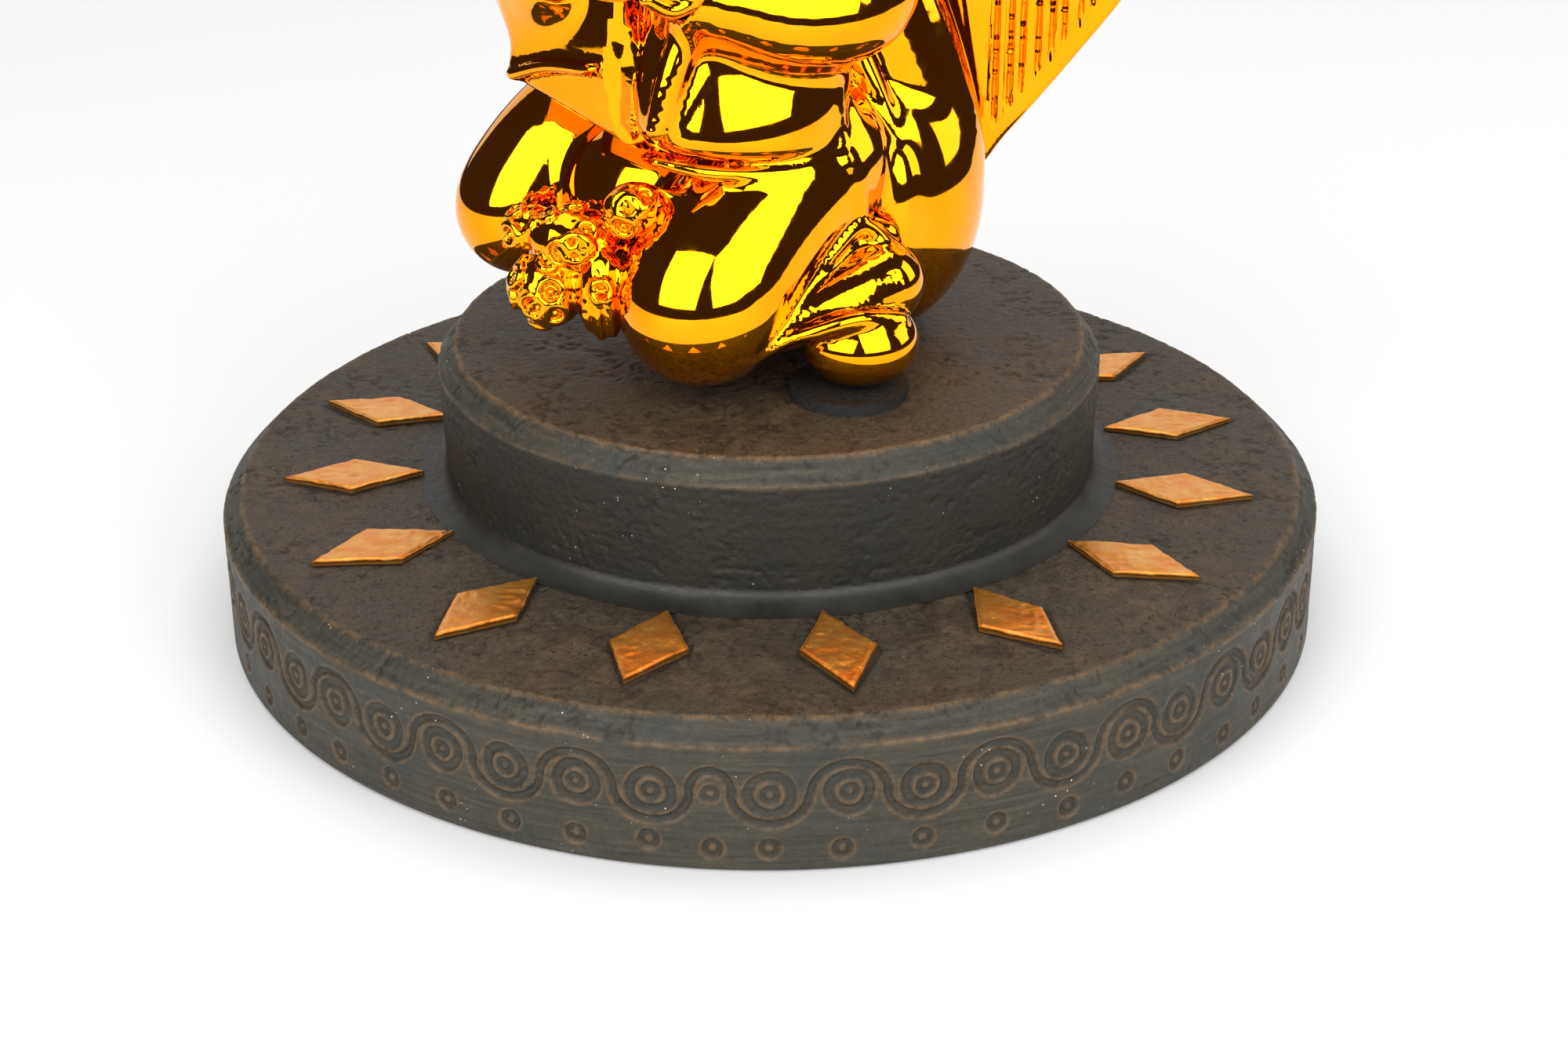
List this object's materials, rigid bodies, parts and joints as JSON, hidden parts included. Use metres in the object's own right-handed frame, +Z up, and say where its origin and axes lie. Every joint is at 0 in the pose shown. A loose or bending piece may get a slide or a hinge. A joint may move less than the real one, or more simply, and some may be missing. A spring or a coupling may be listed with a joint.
{
  "type": "seated figure statuette",
  "caption": "Gilt mirror-finish seated robed figure with a leaf fan, bolted to a round two-tier plinth with a carved scroll frieze and inlaid gold lozenges.",
  "frame": {"origin": "bottom centre of the plinth, on the surface it stands on", "axes": "+Z up along the plinth's axis, -Y towards the front of the plinth; the figure faces -X-Y"},
  "size_m": [0.24, 0.24, 0.2235],
  "materials": {
    "bronze_patina": "cast mineral resin with a dark grey-brown bronze patina, blue-grey bevels and walls, worn copper-brown edges, rough hand-worked surface",
    "cove_putty": "smooth filler fillet painted dark blue-grey",
    "gold_mirror": "mirror-bright deep gold plating",
    "gold_leaf": "crinkled gold leaf, satin",
    "rubber": "black rubber, matte",
    "felt": "black felt",
    "steel": "zinc-plated steel",
    "insert_brass": "machined brass"
  },
  "bodies": {
    "root": {"base_lower_tier": "bronze_patina", "base_upper_tier": "bronze_patina", "centre_bolt": "steel", "centre_washer": "steel", "cove_fillet": "cove_putty", "diamond_tile_01": "gold_leaf", "diamond_tile_02": "gold_leaf", "diamond_tile_03": "gold_leaf", "diamond_tile_04": "gold_leaf", "diamond_tile_05": "gold_leaf", "diamond_tile_06": "gold_leaf", "diamond_tile_07": "gold_leaf", "diamond_tile_08": "gold_leaf", "diamond_tile_09": "gold_leaf", "diamond_tile_10": "gold_leaf", "diamond_tile_11": "gold_leaf", "diamond_tile_12": "gold_leaf", "diamond_tile_13": "gold_leaf", "diamond_tile_14": "gold_leaf", "diamond_tile_15": "gold_leaf", "diamond_tile_16": "gold_leaf", "felt_pad": "felt", "figure_back_bundle": "gold_mirror", "figure_foot_hem": "gold_mirror", "figure_head": "gold_mirror", "figure_left_hand": "gold_mirror", "figure_left_sleeve": "gold_mirror", "figure_lower_robe": "gold_mirror", "figure_right_hand": "gold_mirror", "figure_right_sleeve": "gold_mirror", "figure_shoulder_drape": "gold_mirror", "figure_topknot": "gold_mirror", "figure_upper_robe": "gold_mirror", "held_vessel": "gold_mirror", "knot_ornament": "gold_mirror", "leaf_fan": "gold_mirror", "locating_pin": "steel", "rubber_pad_front": "rubber", "rubber_pad_rear_left": "rubber", "rubber_pad_rear_right": "rubber", "spring_washer": "steel", "threaded_insert": "insert_brass", "tier_screws": "steel"}
  },
  "joints": []
}
